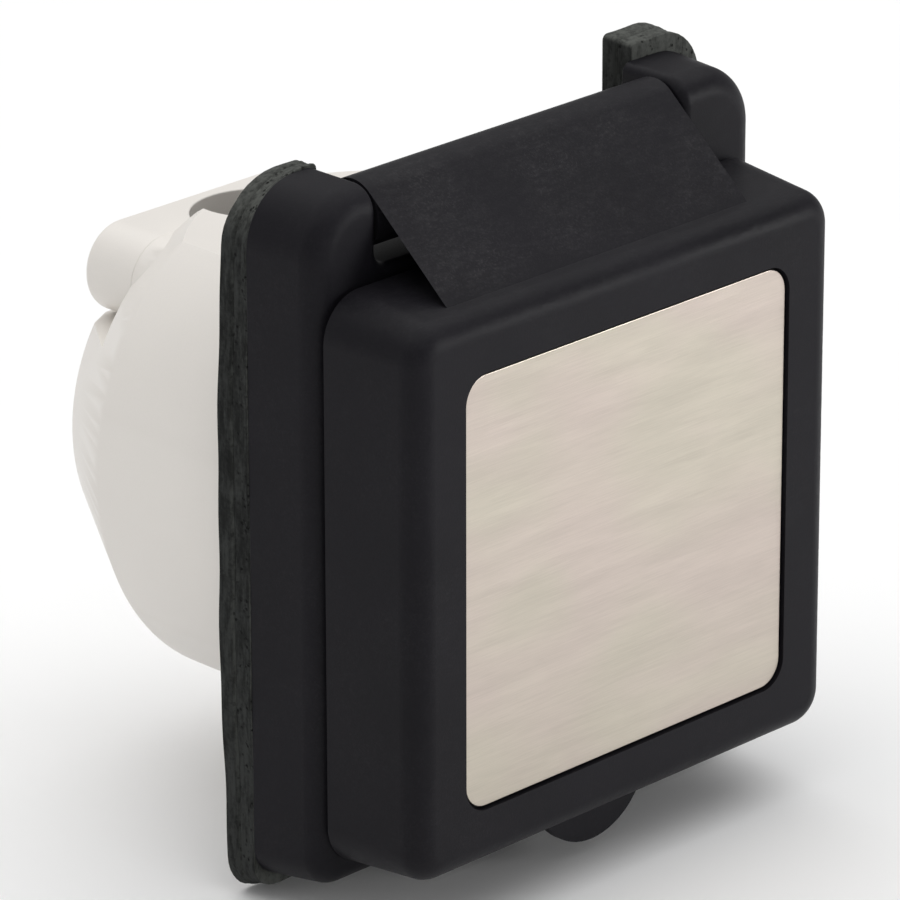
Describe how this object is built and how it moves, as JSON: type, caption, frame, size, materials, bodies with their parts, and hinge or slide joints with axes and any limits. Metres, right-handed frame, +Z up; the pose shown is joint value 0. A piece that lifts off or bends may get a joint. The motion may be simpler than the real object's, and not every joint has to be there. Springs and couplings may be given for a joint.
{
  "type": "power inlet box",
  "caption": "Wall-mounted power inlet box: square flange with gasket, top-hinged lid with a brushed plate, threaded plug collar, locking blades, round rear enclosure and cable clamp.",
  "frame": {"origin": "centre of the wall-fixing hole pattern and of the round housing, on the wall's face, which the gasket's rear face touches", "axes": "+X to the viewer's right, +Y into the wall along the round rear enclosure, +Z up; the lid faces -Y"},
  "size_m": [0.1078, 0.1037, 0.128],
  "materials": {
    "black_moulding": "fine matt moulded black thermoplastic",
    "white_moulding": "satin warm white moulded thermoplastic",
    "insert_moulding": "matt light grey moulded contact carrier",
    "brushed_plate": "horizontally brushed stainless sheet",
    "stainless": "plain stainless steel",
    "brass": "machined brass",
    "sponge_rubber": "die-cut closed-cell sponge rubber",
    "seal_rubber": "smooth black rubber",
    "adhesive": "foam mounting tape"
  },
  "bodies": {
    "inlet": {"front_housing": "black_moulding", "mounting_gasket": "sponge_rubber", "hinge_pin": "stainless", "plug_collar": "black_moulding", "insert_seal": "seal_rubber", "inlet_insert": "insert_moulding", "insert_screws": "stainless", "contact_shell": "stainless", "ground_pin": "brass", "ground_strap": "brass", "terminal_screws": "stainless", "pressure_plates": "brass", "rear_enclosure": "white_moulding", "enclosure_seal": "seal_rubber", "enclosure_screws": "stainless", "clamp_nuts": "stainless", "blade_line_x": "brass", "blade_line_y": "brass", "blade_neutral": "brass", "terminal_line_x": "brass", "terminal_line_y": "brass", "terminal_neutral": "brass", "terminal_ground": "brass"},
    "lid": {"lid_shell": "black_moulding", "lid_plate": "brushed_plate", "plate_adhesive": "adhesive", "lid_seal": "seal_rubber"},
    "cable_clamp": {"cable_clamp_cap": "white_moulding", "cable_clamp_screws": "stainless"}
  },
  "joints": [
    {"name": "lid_hinge", "type": "hinge", "parent": "inlet", "child": "lid", "pos_m": [0, -0.0149, 0.0599], "axis": [-1, 0, 0], "range_deg": [0, 120]},
    {"name": "clamp_slide", "type": "slide", "parent": "inlet", "child": "cable_clamp", "axis": [0, 1, 0], "range_m": [0, 0.005]}
  ]
}
